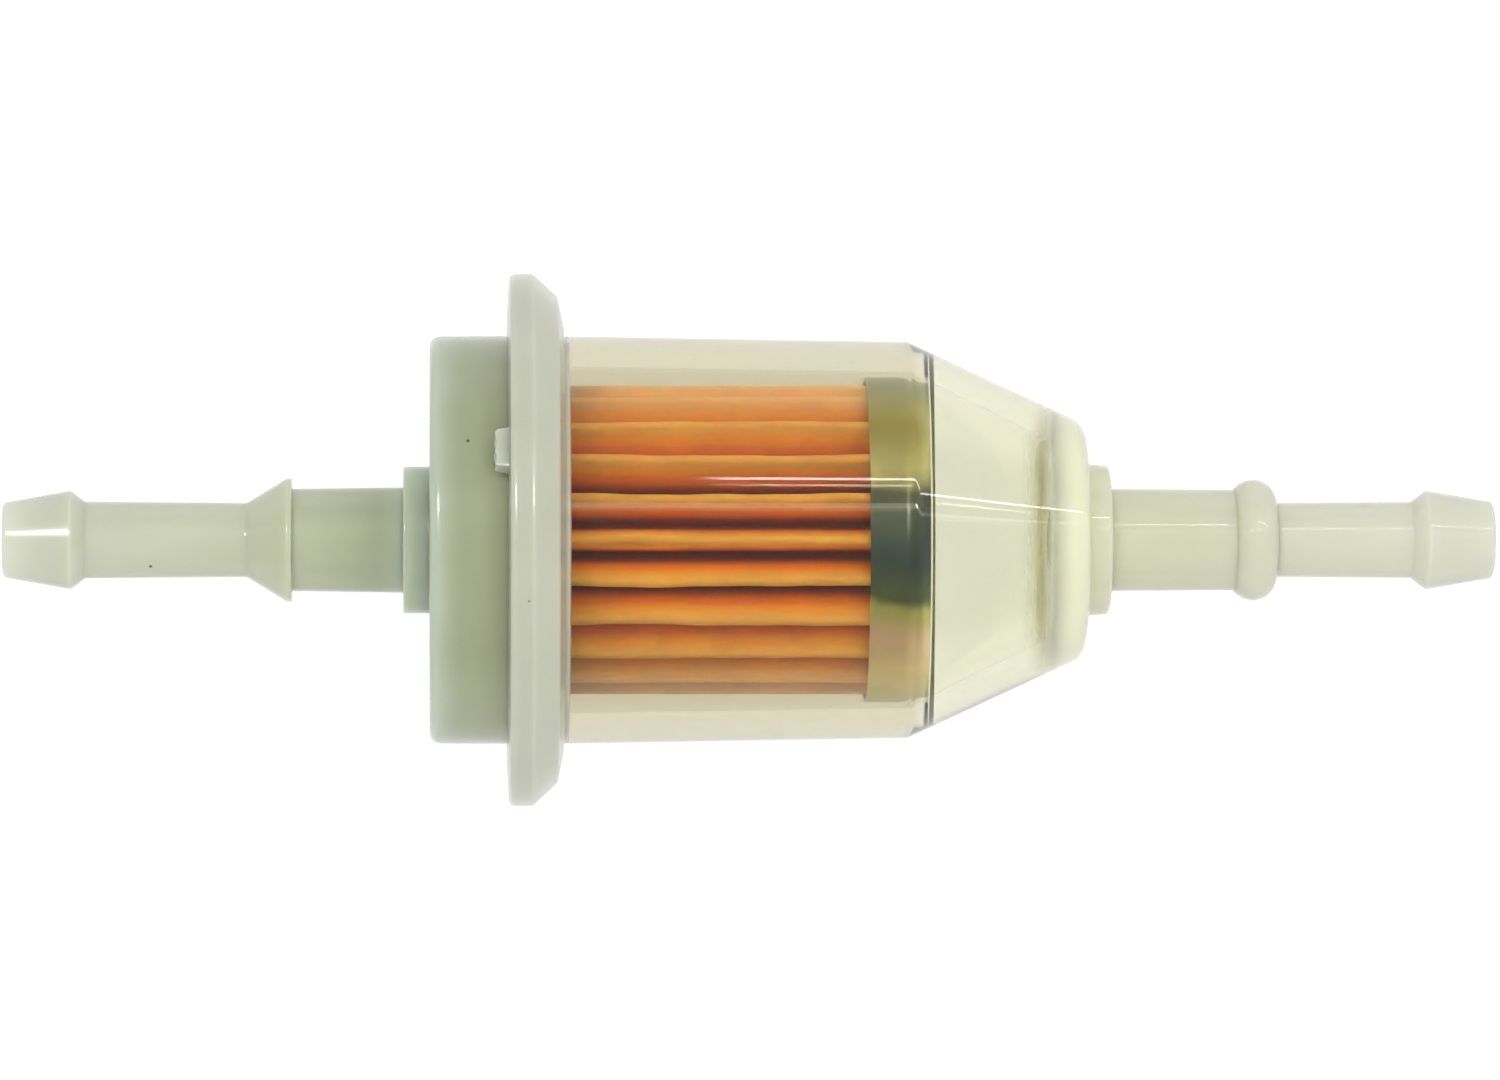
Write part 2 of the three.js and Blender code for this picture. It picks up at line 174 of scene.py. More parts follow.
bowl = turned("bowl_clear", [
    [bowl_face, 13.9, 0.15],
    [bowl_face, flange_radius, 0.15],
    [bowl_face + flange_thickness, flange_radius, 0.15],
    [bowl_face + flange_thickness, mouth_radius, 0.1],
    [shoulder, 15.85, 1.2],
    [end_face, 9.3, 1.6],
    [end_face, 6.1, 0.15],
    [collar_end, 5.95, 0.35],
    [collar_end, 4.1, 0.12],
    [bead_start + 0.38, 4.03, 0.15],
    *arc(bead_centre, 2.95, 1.9, 142, 3, 16),
    [bead_end, 2.97, 0.1],
    [barb_root, 3.05, 0.25],
    [barb_crest, 3.97, 0.35],
    [inlet_tip, 3.05, 0.45],
    [inlet_tip, small_bore, 0.2],
    [bead_end, small_bore, 0.6],
    [bead_start, large_bore, 0.6],
    [inner_end, large_bore, 0.3],
    [inner_end, 8.03, 1.0],
    [ledge + 0.15, 13.05, 0.3],
    [ledge - 0.05, 13.45, 0.3],
])


def principled(name, **inputs):
    """A new material, its node tree and its Principled shader, which has the inputs set by name."""
    material = bpy.data.materials.new(name)
    material.use_nodes = True
    shader = material.node_tree.nodes["Principled BSDF"]
    for socket, value in inputs.items():
        shader.inputs[socket.replace("_", " ")].default_value = value
    return material, material.node_tree, shader


def node(tree, kind, settings=None, **inputs):
    """A node of that kind, with its settings and its inputs: each is a value or another node's output.

    An input is given by its name, or by i and its number where the name isn't its own.
    """
    made = tree.nodes.new("ShaderNode" + kind)
    for key, value in (settings or {}).items():
        setattr(made, key, value)
    for key, value in inputs.items():
        socket = made.inputs[int(key[1:])] if key[1:].isdigit() else made.inputs[key.replace("_", " ")]
        if isinstance(value, bpy.types.NodeSocket):
            tree.links.new(value, socket)
        else:
            socket.default_value = value
    return made


def object_point(tree):
    """The Object coordinates of the piece, in metres in the filter's own frame."""
    return node(tree, "TexCoord").outputs["Object"]


def grain(tree, size, detail=2.0, roughness=0.5, stretch=(1, 1, 1)):
    """Noise from 0 to 1 with features about size metres across, drawn out along an axis by stretch."""
    placed = node(tree, "Mapping", Vector=object_point(tree), Scale=[1 / (size * s) for s in stretch])
    noise = node(tree, "TexNoise", Vector=placed.outputs[0], Scale=1, Detail=detail, Roughness=roughness)
    return noise.outputs[0]


def ramp(tree, value, stops):
    """Colours between the stops (place, colour), eased from one to the next."""
    made = node(tree, "ValToRGB", Fac=value)
    made.color_ramp.interpolation = "EASE"
    elements = made.color_ramp.elements
    while len(elements) < len(stops):
        elements.new(0.5)
    for element, (place, colour) in zip(elements, stops):
        element.position = place
        element.color = (*colour, 1)
    return made.outputs[0]


def between(tree, value, low, high, to_low=0.0, to_high=1.0):
    """The value eased from [low, high] to [to_low, to_high], and held at both ends."""
    settings = {"interpolation_type": "SMOOTHSTEP"}
    made = node(tree, "MapRange", settings, Value=value, i1=low, i2=high, i3=to_low, i4=to_high)
    return made.outputs[0]


def surface_relief(tree, shader, height, depth):
    """Bump of that depth in metres on the shader's normal."""
    relief = node(tree, "Bump", Height=height, Distance=depth, Strength=1.0)
    tree.links.new(relief.outputs[0], shader.inputs["Normal"])


def linear(*srgb):
    """An sRGB colour from 0 to 255 as linear light: ((c + 0.055) / 1.055) ** 2.4."""
    return tuple(((np.array(srgb) / 255 + 0.055) / 1.055) ** 2.4)


bowl_material, tree, shader = principled(
    "clear_polyamide",
    IOR=1.5,
    Subsurface_Weight=1.0,
    Subsurface_Radius=(1.0, 0.95, 0.8),
    Subsurface_Scale=0.003,
)
along = node(tree, "SeparateXYZ", i0=object_point(tree)).outputs[0]
cooled = between(tree, along, 0.0226, 0.0256, 0.985, 0.15)
welded = between(tree, along, -0.0147, -0.01445, 0.3, 1.0)
clearness = node(tree, "Math", {"operation": "MULTIPLY"}, i0=cooled, i1=welded).outputs[0]
tree.links.new(clearness, shader.inputs["Transmission Weight"])
share = node(tree, "MapRange", Value=along, i1=bowl_face * MM, i2=inlet_tip * MM).outputs[0]
# Painted light: the warm tan tint over the straight wall, from 0.034 to 0.386, is partly the plastic's tint
# and partly painted glow of the paper's orange light scattered in the wall.
tint_and_painted_paper_light = ramp(tree, share, [
    (0.026, linear(198, 202, 178)),
    (0.034, linear(234, 229, 218)),
    (0.386, linear(234, 229, 218)),
    (0.398, linear(251, 252, 246)),
    (0.515, linear(251, 252, 246)),
    (0.556, linear(225, 227, 201)),
    (0.600, linear(202, 204, 182)),
    (1.0, linear(207, 209, 195)),
])
tree.links.new(tint_and_painted_paper_light, shader.inputs["Base Color"])
polish = between(tree, grain(tree, 0.004), 0.3, 0.7, 0.02, 0.05)
tree.links.new(polish, shader.inputs["Roughness"])
surface_relief(tree, shader, grain(tree, 0.012, 1.0, stretch=(3, 1, 1)), 0.0000025)
# Lamps shine through the clear wall onto the element, tinted by the plastic.
lamp_ray = node(tree, "LightPath").outputs["Is Shadow Ray"]
lit_through = ramp(tree, clearness, [(0.15, linear(222, 220, 206)), (0.985, linear(254, 254, 251))])
clear = node(tree, "BsdfTransparent", Color=lit_through)
both = node(tree, "MixShader", i0=lamp_ray, i1=shader.outputs[0], i2=clear.outputs[0])
absorbed = node(tree, "VolumeAbsorption", Color=(0.64, 0.61, 0.26, 1), Density=100.0)
output = tree.nodes["Material Output"]
tree.links.new(both.outputs[0], output.inputs["Surface"])
tree.links.new(absorbed.outputs[0], output.inputs["Volume"])

bowl.data.materials.append(bowl_material)
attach(bowl, "root")
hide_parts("bowl")


# ---- Cap ----
# The other half of the housing, moulded in the same polyamide left milky: a shallow cup with the stepped
# outlet spigot outside and a short spigot inside, which the element is pushed onto.

cap_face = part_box("cap")[1].x / MM
outlet_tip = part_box("cap")[0].x / MM
cap_end = cap_face - 8.3
collar_edge = cap_end - 2.1
barb_back = collar_edge - 8.9
cone_end = barb_back - 3.6
outlet_root = cone_end - 12.9
outlet_crest = outlet_root - 1.1
inner_face = cap_end + 1.6
inner_spigot_end = inner_face + 5.1

cap = turned("cap_milky", [
    [cap_face, 14.7, 0.15],
    [cap_face, flange_radius, 0.15],
    [cap_face - flange_thickness, flange_radius, 0.15],
    [cap_face - flange_thickness, mouth_radius, 0.1],
    [cap_end, 16.25, 0.85],
    [cap_end, 5.85, 0.15],
    [collar_edge, 5.85, 0.12],
    [collar_edge, 4.2, 0.12],
    [barb_back, 4.08, 0.12],
    [barb_back, 4.92, 0.07],
    [barb_back - 0.4, 4.92, 0.3],
    [cone_end, 2.95, 0.5],
    [outlet_root, 3.06, 0.25],
    [outlet_crest, 3.93, 0.35],
    [outlet_tip, 2.98, 0.45],
    [outlet_tip, small_bore, 0.2],
    [cone_end, small_bore, 0.6],
    [barb_back, large_bore, 0.6],
    [inner_spigot_end, large_bore, 0.3],
    [inner_spigot_end, 4.2, 0.3],
    [inner_face, 4.2, 0.4],
    [inner_face, 14.7, 0.8],
])


def milky_polyamide(name, depth, start, end, stops):
    """Milky polyamide: light scatters depth metres into it, more yellow where it is thick.

    The stops give its colour along X from start to end in millimetres, and noise drawn out along X
    lightens and darkens it in faint streaks from the mould's flow. A few dark specks of dust are caught
    in it: a small dot in the middle of about one cell in five of a cell pattern.
    """
    material, tree, shader = principled(
        name,
        IOR=1.5,
        Subsurface_Weight=1.0,
        Subsurface_Radius=(1.0, 0.95, 0.7),
        Subsurface_Scale=depth,
    )
    along = node(tree, "SeparateXYZ", i0=object_point(tree)).outputs[0]
    share = node(tree, "MapRange", Value=along, i1=start * MM, i2=end * MM).outputs[0]
    thick = ramp(tree, share, stops)
    flow = grain(tree, 0.007, 1.0, stretch=(2.5, 1, 1))
    cloud = node(tree, "Math", {"operation": "MULTIPLY_ADD"}, i0=flow, i1=0.14, i2=0.93).outputs[0]
    tint = node(tree, "VectorMath", {"operation": "SCALE"}, i0=thick, Scale=cloud).outputs[0]
    cells = node(tree, "TexVoronoi", Vector=object_point(tree), Scale=400)
    chosen = between(tree, node(tree, "SeparateColor", i0=cells.outputs["Color"]).outputs[0], 0.8, 0.82)
    dot = between(tree, cells.outputs["Distance"], 0.04, 0.08, 0.8, 0.0)
    speck = node(tree, "Math", {"operation": "MULTIPLY"}, i0=chosen, i1=dot).outputs[0]
    dust_colour = (0.012, 0.02, 0.018, 1)
    specked = node(tree, "Mix", {"data_type": "RGBA"}, i0=speck, i6=tint, i7=dust_colour).outputs[2]
    tree.links.new(specked, shader.inputs["Base Color"])
    skin = between(tree, grain(tree, 0.003), 0.3, 0.7, 0.16, 0.24)
    tree.links.new(skin, shader.inputs["Roughness"])
    surface_relief(tree, shader, grain(tree, 0.0015, 1.0), 0.000004)
    return material


cap.data.materials.append(milky_polyamide("milky_polyamide", 0.0035, outlet_tip, cap_face, [
    (0.0, linear(198, 201, 188)),
    (0.12, linear(187, 190, 172)),
    (0.47, linear(183, 187, 164)),
    (0.70, linear(162, 167, 142)),
    (0.765, linear(178, 188, 166)),
    (0.81, linear(170, 180, 163)),
    (0.87, linear(157, 163, 134)),
    (1.0, linear(167, 171, 138)),
]))
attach(cap, "root")
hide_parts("cap")


# ---- Joint ring ----
# A whiter ring moulded around the two flanges once the element is inside. The stub on its outlet side is
# where the sprue was broken off.

ring_low, ring_high = (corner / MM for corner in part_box("joint_ring"))
ring_radius = ring_high.z
stub_height, stub_width, stub_depth = 1.2, 3.0, 2.0
stub_angle, stub_radius = radians(22), 18.5
stub_reach = 0.11
lip_thickness, channel_radius = 0.9, 18.4
ring_left = ring_low.x + stub_height
ring_right = ring_high.x

outline, _ = rounded([
    [ring_left, 16.35, 0.1],
    [ring_left + lip_thickness, 16.35, 0.1],
    [ring_left + lip_thickness, channel_radius, 0.15],
    [ring_right - lip_thickness, channel_radius, 0.15],
    [ring_right - lip_thickness, 16.85, 0.1],
    [ring_right, 16.85, 0.1],
    [ring_right - 0.5, ring_radius - 1.85, 0.7],
    [ring_left + 2.0, ring_radius, 0.5],
    [ring_left + 0.15, ring_radius, 0.5],
    [ring_left, 18.6, 0],
])
spacing = np.linalg.norm(np.roll(outline, -1, axis=0) - outline, axis=1)
place = np.concatenate([[0], np.cumsum(spacing)])
fine = np.linspace(0, place[-1], 260, endpoint=False)
looped = np.concatenate([outline, outline[:1]])
outline = np.stack([np.interp(fine, place, looped[:, k]) for k in (0, 1)], axis=1)


def plateau(distance, half_width, edge=0.18):
    """1 within half_width, 0 beyond it, and an eased step of 3*s**2 - 2*s**3 over the edge between."""
    s = np.clip((half_width + edge / 2 - np.abs(distance)) / edge, 0, 1)
    return s * s * (3 - 2 * s)


coarse = np.linspace(0, 2 * np.pi, 180, endpoint=False)
near_stub = stub_angle + np.linspace(-stub_reach, stub_reach, 70)
angle = np.unique(np.concatenate([coarse, near_stub]))[:, None]
across_stub = (angle - stub_angle) * stub_radius
along_ring = np.repeat(outline[None, :, 0], len(angle), axis=0)
left_side = outline[:, 0] < ring_left + 0.3
upright = plateau(outline[:, 1] - stub_radius, stub_depth / 2)
stub = plateau(across_stub, stub_width / 2) * upright * left_side
# The stub's end is uneven where it was broken off, and stays within the stub's height.
broken = 0.12 * np.sin(5 * across_stub) * np.cos(4 * outline[:, 1])
along_ring = along_ring - stub * (stub_height - 0.15 + broken)
ring = grid_mesh("joint_ring_moulded", MM * np.stack(
    [along_ring, outline[:, 1] * np.sin(angle), outline[:, 1] * np.cos(angle)], axis=-1))

ring.data.materials.append(milky_polyamide("white_polyamide", 0.0013, ring_left, ring_right, [
    (0.0, linear(182, 185, 170)),
    (1.0, linear(185, 187, 170)),
]))
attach(ring, "root")
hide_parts("joint_ring")


# ---- Pleated paper ----
# Resin-cured filter paper, folded into 24 pleats round the centre tube and baked so that the folds stay.
# The folds wander a little, and light glows orange through the thin sheet between them.

pleats = 24
paper_thickness, fold_radius = 0.32, 0.2
paper_low, paper_high = (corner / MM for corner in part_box("pleated_paper"))
ridge_centre = paper_high.z - fold_radius - paper_thickness / 2
valley_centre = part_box("centre_tube")[1].z / MM + 0.3 + fold_radius + paper_thickness / 2
half_pitch = np.pi / pleats
fold_points, flank_points, paper_rows = 7, 5, 40

sideways = valley_centre * np.sin(half_pitch)
inwards = ridge_centre - valley_centre * np.cos(half_pitch)
slope = np.arctan2(sideways, inwards) - np.arcsin(2 * fold_radius / np.hypot(sideways, inwards))
ridge_turn = np.pi / 2 - slope
valley_turn = ridge_turn - half_pitch


def pleat_line():
    """The middle line of one pleat, from its ridge to the next one's, as rows (y, z, normal y, normal z).

    A ridge is centre + r*(sin(t), cos(t)) for t from -ridge_turn to ridge_turn, and a valley, half a
    pitch on, is centre - r*(sin(t), cos(t)) for t running the other way. Straight flanks join them.
    """
    turn = np.linspace(-ridge_turn, ridge_turn, fold_points)
    outward = np.stack([np.sin(turn), np.cos(turn)], axis=1)
    ridge = np.concatenate([(0, ridge_centre) + fold_radius * outward, outward], axis=1)
    turn = half_pitch + np.linspace(valley_turn, -valley_turn, fold_points)
    outward = np.stack([np.sin(turn), np.cos(turn)], axis=1)
    middle = valley_centre * np.array([np.sin(half_pitch), np.cos(half_pitch)])
    valley = np.concatenate([middle - fold_radius * outward, outward], axis=1)
    share = np.linspace(0, 1, flank_points + 2)[1:-1, None]
    down = ridge[-1] + share * (valley[0] - ridge[-1])
    pitch_cos, pitch_sin = np.cos(2 * half_pitch), np.sin(2 * half_pitch)
    next_ridge = np.array([[pitch_cos, pitch_sin], [-pitch_sin, pitch_cos]])
    start = np.concatenate([next_ridge @ ridge[0, :2], next_ridge @ ridge[0, 2:]])
    up = valley[-1] + share * (start - valley[-1])
    return np.concatenate([ridge, down, valley, up])


pleat = pleat_line()
turn = (np.arange(pleats) * 2 * half_pitch)[:, None]
folded = [np.sin(turn) * pleat[:, k + 1] + np.cos(turn) * pleat[:, k] for k in (0, 2)]
raised = [np.cos(turn) * pleat[:, k + 1] - np.sin(turn) * pleat[:, k] for k in (0, 2)]
y, z = folded[0].reshape(-1, 1), raised[0].reshape(-1, 1)
normal_y, normal_z = folded[1].reshape(-1, 1), raised[1].reshape(-1, 1)
row = np.linspace(paper_low.x, paper_high.x, paper_rows)
along_paper = np.concatenate([row, row[::-1]])
face = np.repeat([paper_thickness / 2, -paper_thickness / 2], paper_rows)
rng = np.random.default_rng(7)
phase = np.repeat(rng.uniform(0, 2 * np.pi, (3, pleats)), len(pleat), axis=1)[..., None]
distance = np.hypot(y, z)
ridge_share = np.clip((distance - valley_centre) / (ridge_centre - valley_centre), 0, 1)
held = np.sin(np.pi * (along_paper - paper_low.x) / (paper_high.x - paper_low.x)) ** 0.5
wander = sum(
    size * np.sin(2 * np.pi * along_paper / length + phase[k])
    for k, (size, length) in enumerate([(0.07, 27.0), (0.04, 11.0), (0.02, 4.7)])
) * held * ridge_share
grid_y = y + face * normal_y + wander * z / distance
grid_z = z + face * normal_z - wander * y / distance
paper = grid_mesh("pleated_paper_folded", MM * np.stack(
    [np.broadcast_to(along_paper, grid_y.shape), grid_y, grid_z], axis=-1))

paper_material, tree, shader = principled(
    "filter_paper",
    Roughness=0.85,
    IOR=1.45,
    Specular_IOR_Level=0.25,
    Subsurface_Weight=1.0,
    Subsurface_Radius=(1.0, 0.5, 0.2),
    Subsurface_Scale=0.0004,
)
axis_point = node(tree, "SeparateXYZ", i0=object_point(tree))
across = node(tree, "CombineXYZ", Y=axis_point.outputs[1], Z=axis_point.outputs[2])
from_axis = node(tree, "VectorMath", {"operation": "LENGTH"}, i0=across.outputs[0]).outputs["Value"]
depth = between(tree, from_axis, 0.0080, 0.0124)
# Painted shade and highlight: the sheet is dark red towards the fold bottoms and pale tan on the ridges,
# over the paper's own orange on the flanks.
sheet_colour_painted_light = ramp(tree, depth, [
    (0.0, linear(120, 36, 30)),
    (0.55, linear(236, 134, 38)),
    (0.86, linear(243, 167, 50)),
    (0.98, linear(227, 174, 86)),
])
fibres = grain(tree, 0.00035, 4.0, 0.6, stretch=(3, 1, 1))
blotches = grain(tree, 0.004)
felted = node(tree, "Math", {"operation": "MULTIPLY_ADD"}, i0=fibres, i1=0.35, i2=0.62).outputs[0]
mottle = node(tree, "Math", {"operation": "MULTIPLY_ADD"}, i0=blotches, i1=0.4, i2=felted).outputs[0]
shaded = node(tree, "VectorMath", {"operation": "SCALE"}, i0=sheet_colour_painted_light, Scale=mottle).outputs[0]
tree.links.new(shaded, shader.inputs["Base Color"])
surface_relief(tree, shader, fibres, 0.00006)

paper.data.materials.append(paper_material)
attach(paper, "root")
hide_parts("pleated_paper")


# ---- Element end caps ----
# Two shallow cups pressed from 0.3 mm steel sheet, zinc-plated and passivated, which leaves a thin film
# that shines olive, straw and pink; the dark blue-green across each cup's middle is a painted reflection.
# The paper's ends are bedded in them.

element_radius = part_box("blind_end_cap")[1].z / MM
blind_edge, blind_plate = (corner.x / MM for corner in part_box("blind_end_cap"))
open_plate, open_edge = (corner.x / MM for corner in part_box("open_end_cap"))
sheet = 0.3
neck_radius, neck_length = 6.3, 3.6
dish_depth, dish_radius, dish_rim = 0.25, 8.0, 8.6

blind_cap = turned("blind_end_cap_pressed", [
    [blind_plate - dish_depth, 0, 0],
    [blind_plate - dish_depth, dish_radius, 1.0],
    [blind_plate, dish_rim, 1.0],
    [blind_plate, element_radius, 1.6],
    [blind_edge, element_radius, 0.1],
    [blind_edge, element_radius - sheet, 0.1],
    [blind_plate - sheet, element_radius - sheet, 1.3],
    [blind_plate - sheet, dish_rim - 0.1, 1.0],
    [blind_plate - sheet - dish_depth, dish_radius - 0.1, 1.0],
    [blind_plate - sheet - dish_depth, 0, 0],
])
open_cap = turned("open_end_cap_pressed", [
    [open_plate, neck_radius, 0.35],
    [open_plate, element_radius, 1.1],
    [open_edge, element_radius, 0.1],
    [open_edge, element_radius - sheet, 0.1],
    [open_plate + sheet, element_radius - sheet, 0.8],
    [open_plate + sheet, neck_radius + sheet, 0.1],
    [open_plate + neck_length, neck_radius + sheet, 0.1],
    [open_plate + neck_length, neck_radius, 0.1],
])

zinc_material, tree, shader = principled("passivated_zinc", Metallic=0.7)
# The film's thickness, and with it its olive, straw and pink colour, changes across the cup along Y, and
# noise blurs the bands. The dark blue-green band across the middle, where the cup faces up, is a painted
# reflection of the dark room above.
across_cup = node(tree, "SeparateXYZ", i0=object_point(tree)).outputs[1]
cup_edge = element_radius * MM
across_share = node(tree, "MapRange", Value=across_cup, i1=-cup_edge, i2=cup_edge).outputs[0]
runs = grain(tree, 0.007, 3.0, 0.6)
band_place = node(tree, "Math", {"operation": "MULTIPLY_ADD"}, i0=runs, i1=0.12, i2=across_share).outputs[0]
# Painted reflection: the dark stops from 0.40 to 0.68 darken the cup where it faces up.
film_and_painted_reflection = ramp(tree, band_place, [
    (0.06, linear(168, 176, 92)),
    (0.17, linear(222, 204, 146)),
    (0.28, linear(246, 216, 184)),
    (0.36, linear(206, 204, 124)),
    (0.40, linear(90, 108, 74)),
    (0.50, linear(62, 82, 84)),
    (0.68, linear(66, 72, 58)),
    (0.77, linear(206, 200, 138)),
    (0.90, linear(176, 168, 88)),
    (1.0, linear(132, 140, 76)),
])
stains = grain(tree, 0.002, 1.0)
speckle = node(tree, "Math", {"operation": "MULTIPLY_ADD"}, i0=stains, i1=0.3, i2=0.85).outputs[0]
speckled_film_and_reflection = node(tree, "VectorMath", {"operation": "SCALE"}, i0=film_and_painted_reflection, Scale=speckle).outputs[0]
tree.links.new(speckled_film_and_reflection, shader.inputs["Base Color"])
dulled = between(tree, grain(tree, 0.002), 0.3, 0.7, 0.29, 0.37)
tree.links.new(dulled, shader.inputs["Roughness"])
surface_relief(tree, shader, grain(tree, 0.0006, stretch=(6, 1, 1)), 0.000002)

for piece, cad_node in ((blind_cap, "blind_end_cap"), (open_cap, "open_end_cap")):
    piece.data.materials.append(zinc_material)
    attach(piece, "root")
    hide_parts(cad_node)


# ---- Adhesive ----
# Heat-cured resin poured into both cups: a disc in the closed one and a washer round the open one's neck.
# The paper stood in it while it set, and it holds small bubbles.

def resin_bed(name, floor_side, top_side, inner_radius):
    """A turned bed from floor_side to top_side, hollow to inner_radius, with edges rounded to fit a cup."""
    outer_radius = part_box("adhesive_blind_end")[1].z / MM
    return turned(name, [
        [floor_side, inner_radius, 0.1 if inner_radius else 0],
        [floor_side, outer_radius, 0.6],
        [top_side, outer_radius, 0.35],
        [top_side, inner_radius, 0.35 if inner_radius else 0],
    ])


resin_material, tree, shader = principled(
    "cured_resin",
    IOR=1.52,
    Coat_Weight=0.3,
    Coat_Roughness=0.15,
    Subsurface_Weight=0.6,
    Subsurface_Radius=(1.0, 0.6, 0.3),
    Subsurface_Scale=0.0006,
)
resin_colour = ramp(tree, grain(tree, 0.003, 3.0), [
    (0.3, linear(150, 92, 44)),
    (0.5, linear(186, 124, 64)),
    (0.7, linear(206, 150, 88)),
])
tree.links.new(resin_colour, shader.inputs["Base Color"])
tree.links.new(between(tree, grain(tree, 0.0015), 0.3, 0.7, 0.35, 0.6), shader.inputs["Roughness"])
placed = node(tree, "Mapping", Vector=object_point(tree), Scale=(1200, 1200, 1200))
bubbles = node(tree, "TexVoronoi", Vector=placed.outputs[0], Scale=1).outputs["Distance"]
surface_relief(tree, shader, between(tree, bubbles, 0.1, 0.35), 0.00006)

blind_top, blind_floor = (corner.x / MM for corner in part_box("adhesive_blind_end"))
open_floor, open_top = (corner.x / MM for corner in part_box("adhesive_open_end"))
washer_radius = neck_radius + sheet + 0.3
blind_resin = resin_bed("adhesive_blind_end_poured", blind_floor, blind_top, 0)
open_resin = resin_bed("adhesive_open_end_poured", open_floor, open_top, washer_radius)
for piece, cad_node in ((blind_resin, "adhesive_blind_end"), (open_resin, "adhesive_open_end")):
    piece.data.materials.append(resin_material)
    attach(piece, "root")
    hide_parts(cad_node)


# ---- Seam clip and centre tube ----
# The clip is a strip of bare steel folded to a U and pinched over the paper's seam to close it. The centre
# tube is rolled from perforated bare steel, and keeps the fold bottoms from caving in.

clip_low, clip_high = (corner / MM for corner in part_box("seam_clip"))
clip_bend, clip_steps = 0.35, 120
crimp_depth, crimp_pitch = 0.06, 2.6


def clip_line():
    """The clip's middle line as rows (y, z): up one leg, round two bends, and down the other leg.

    A bend is centre + clip_bend*(cos(t), -sin(t)) for t from 0 to 90 degrees, and the other its mirror.
    """
    half, foot, top = clip_high.y - sheet / 2, clip_high.z, clip_low.z + sheet / 2
    bend = np.radians(np.linspace(0, 90, 9))[:, None]
    leg = np.stack([np.full(8, half), np.linspace(foot, top + clip_bend, 8, endpoint=False)], axis=1)
    centre = np.array([half - clip_bend, top + clip_bend])
    corner = centre + clip_bend * np.concatenate([np.cos(bend), -np.sin(bend)], axis=1)
    side = np.concatenate([leg, corner])
    return np.concatenate([side, side[::-1] * (-1, 1)])


line = clip_line()
clip_along = np.linspace(clip_low.x + 0.05, clip_high.x - 0.05, clip_steps)[:, None]
outwards = np.sign(line[:, 0])
on_legs = line[:, 1] > clip_low.z + 0.6
crimps = crimp_depth * np.cos(2 * np.pi * clip_along / crimp_pitch) * outwards * on_legs
clip_sideways = line[:, 0] - crimps - crimp_depth * outwards
clip_grid = MM * np.stack(np.broadcast_arrays(clip_along, clip_sideways, line[:, 1]), axis=-1)
index = np.arange(clip_steps * len(line)).reshape(clip_steps, -1)
cells = np.stack([index[:-1, :-1], index[:-1, 1:], index[1:, 1:], index[1:, :-1]], axis=-1).reshape(-1, 4)
clip_mesh = bpy.data.meshes.new("seam_clip_folded")
clip_mesh.from_pydata(clip_grid.reshape(-1, 3).tolist(), [], cells.tolist())
clip_mesh.shade_smooth()
clip_mesh.set_sharp_from_angle(angle=radians(50))
clip = bpy.data.objects.new("seam_clip_folded", clip_mesh)
scene = bpy.context.scene
scene.collection.objects.link(clip)
thickened = clip.modifiers.new("sheet", "SOLIDIFY")
thickened.thickness = (sheet - 0.02) * MM
thickened.offset = 0
thickened.use_even_offset = True

steel_material, tree, shader = principled("bare_steel", Metallic=1.0)
rolled = grain(tree, 0.0006, 3.0, 0.6, stretch=(12, 1, 1))
stain = grain(tree, 0.003, 4.0, 0.6)
steel_tone = ramp(tree, rolled, [
    (0.25, linear(150, 152, 152)),
    (0.55, linear(176, 178, 178)),
    (0.8, linear(196, 197, 195)),
])
stain_share = between(tree, stain, 0.55, 0.75, 0.0, 0.5)
stain_colour = (*linear(128, 112, 92), 1)
stained = node(tree, "Mix", {"data_type": "RGBA"}, i0=stain_share, i6=steel_tone, i7=stain_colour)
tree.links.new(stained.outputs[2], shader.inputs["Base Color"])
tree.links.new(between(tree, stain, 0.3, 0.75, 0.28, 0.55), shader.inputs["Roughness"])
surface_relief(tree, shader, rolled, 0.000004)

clip_mesh.materials.append(steel_material)
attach(clip, "root")
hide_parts("seam_clip")

# The tube keeps the frame's own shape and takes the clip's steel.
tube_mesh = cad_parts["centre_tube"].data
tube_mesh.materials.clear()
tube_mesh.materials.append(steel_material)


# ---- Sealing ring ----
# A black nitrile sleeve with a lip, moulded in one piece, pushed into the open cup's neck round the cap's
# inner spigot. It is dusty grey where the mould was rough.

seal_low, seal_high = (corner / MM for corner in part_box("sealing_ring"))
seal_inner, seal_outer = 4.5, 6.0
lip_end = seal_low.x + 0.7
seal = turned("sealing_ring_moulded", [
    [seal_low.x, seal_inner, 0.2],
    [seal_low.x, seal_high.z, 0.25],
    [lip_end, seal_high.z, 0.25],
    [lip_end, seal_outer, 0.15],
    [seal_high.x, seal_outer, 0.3],
    [seal_high.x, seal_inner, 0.2],
])
rubber_material, tree, shader = principled("nitrile_rubber", IOR=1.52)
dust = grain(tree, 0.0018, 4.0, 0.6)
dusty = ramp(tree, dust, [
    (0.3, linear(26, 26, 27)),
    (0.6, linear(38, 38, 38)),
    (0.8, linear(70, 69, 66)),
])
tree.links.new(dusty, shader.inputs["Base Color"])
tree.links.new(between(tree, dust, 0.3, 0.75, 0.5, 0.8), shader.inputs["Roughness"])
surface_relief(tree, shader, grain(tree, 0.0004, 3.0), 0.00001)
seal.data.materials.append(rubber_material)
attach(seal, "root")
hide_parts("sealing_ring")


# ---- Floor, light and camera ----
# A white table under the ring, glowing enough to stay white. Two broad soft panels light the filter, two
# long tubes and two small bulbs give it glints, and the camera is almost straight above.

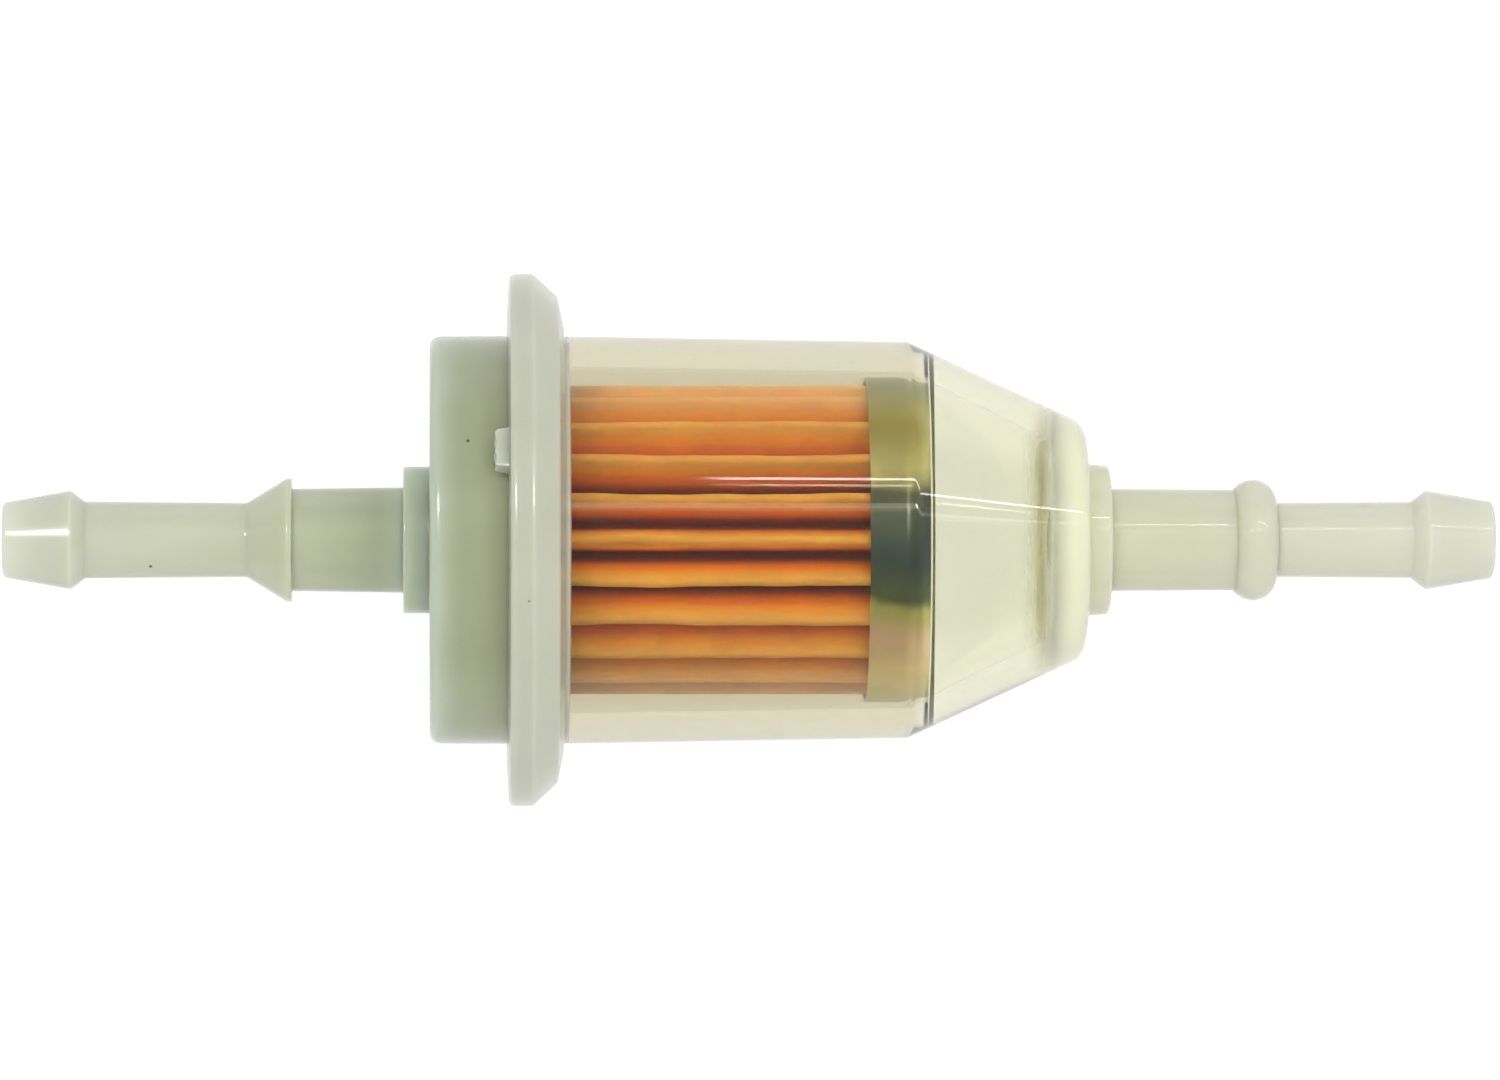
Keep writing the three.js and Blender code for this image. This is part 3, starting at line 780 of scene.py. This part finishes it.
floor_level = cad_box[0][2] - 0.00002
floor_half = 3.0
floor_corners = [(side_x * floor_half, side_y * floor_half, floor_level)
                 for side_x, side_y in ((-1, -1), (1, -1), (1, 1), (-1, 1))]
floor_mesh = bpy.data.meshes.new("floor")
floor_mesh.from_pydata(floor_corners, [], [(0, 1, 2, 3)])
floor = bpy.data.objects.new("floor", floor_mesh)
scene.collection.objects.link(floor)
floor_material, _, _ = principled(
    "white_table",
    Base_Color=(0.1, 0.1, 0.1, 1),
    Roughness=0.8,
    Emission_Color=(1, 1, 1, 1),
    Emission_Strength=0.94,
)
floor_mesh.materials.append(floor_material)

world = bpy.data.worlds.new("studio")
scene.world = world
world.use_nodes = True
tree = world.node_tree
skywards = node(tree, "SeparateXYZ", i0=node(tree, "TexCoord").outputs["Generated"]).outputs[2]
room = ramp(tree, skywards, [
    (0.0, (1, 1, 1)),
    (0.25, (0.3, 0.3, 0.3)),
    (0.65, (0.25, 0.25, 0.25)),
    (0.85, (0.1, 0.1, 0.1)),
])
tree.links.new(room, tree.nodes["Background"].inputs["Color"])
tree.nodes["Background"].inputs["Strength"].default_value = 1.0

lamp_distance = 0.9


def lamp(name, lean, width, height, power, along=0.0, glints=True, fills=True):
    """A rectangular lamp facing the X axis at along, lean degrees from straight up towards +Y.

    Without glints it shows in no reflection or refraction, and without fills it only makes glints.
    """
    data = bpy.data.lights.new(name, "AREA")
    data.shape = "RECTANGLE"
    data.size, data.size_y = width, height
    data.energy = power
    made = bpy.data.objects.new(name, data)
    made.location = (along, lamp_distance * np.sin(radians(lean)), lamp_distance * np.cos(radians(lean)))
    made.rotation_euler = (radians(-lean), 0, 0)
    made.visible_glossy = glints
    made.visible_transmission = glints
    made.visible_diffuse = fills
    made.visible_camera = False
    scene.collection.objects.link(made)


lamp("front_fill", lean=6, width=0.9, height=0.7, power=9.0, glints=False)
lamp("low_fill", lean=-38, width=0.9, height=0.5, power=1.9, glints=False)
lamp("key_tube", lean=35, width=1.7, height=0.02, power=1.7, along=0.9)
lamp("soft_tube", lean=19.5, width=1.5, height=0.045, power=0.45, along=0.77)
lamp("left_bulb", lean=20, width=0.03, height=0.03, power=6.0, along=-0.35, fills=False)
lamp("right_bulb", lean=20, width=0.03, height=0.03, power=4.0, along=0.35, fills=False)

camera_distance, camera_lean = 0.7, radians(2)
camera_data = bpy.data.cameras.new("camera")
camera_data.sensor_width = 36.0
camera_data.lens = 210.0
camera = bpy.data.objects.new("camera", camera_data)
camera.location = (-camera_distance * np.sin(camera_lean), 0, camera_distance * np.cos(camera_lean))
camera.rotation_euler = (0, -camera_lean, 0)
scene.collection.objects.link(camera)
scene.camera = camera
scene.view_settings.view_transform = "Standard"
scene.cycles.max_bounces = 24
scene.cycles.transmission_bounces = 24
scene.cycles.transparent_max_bounces = 24
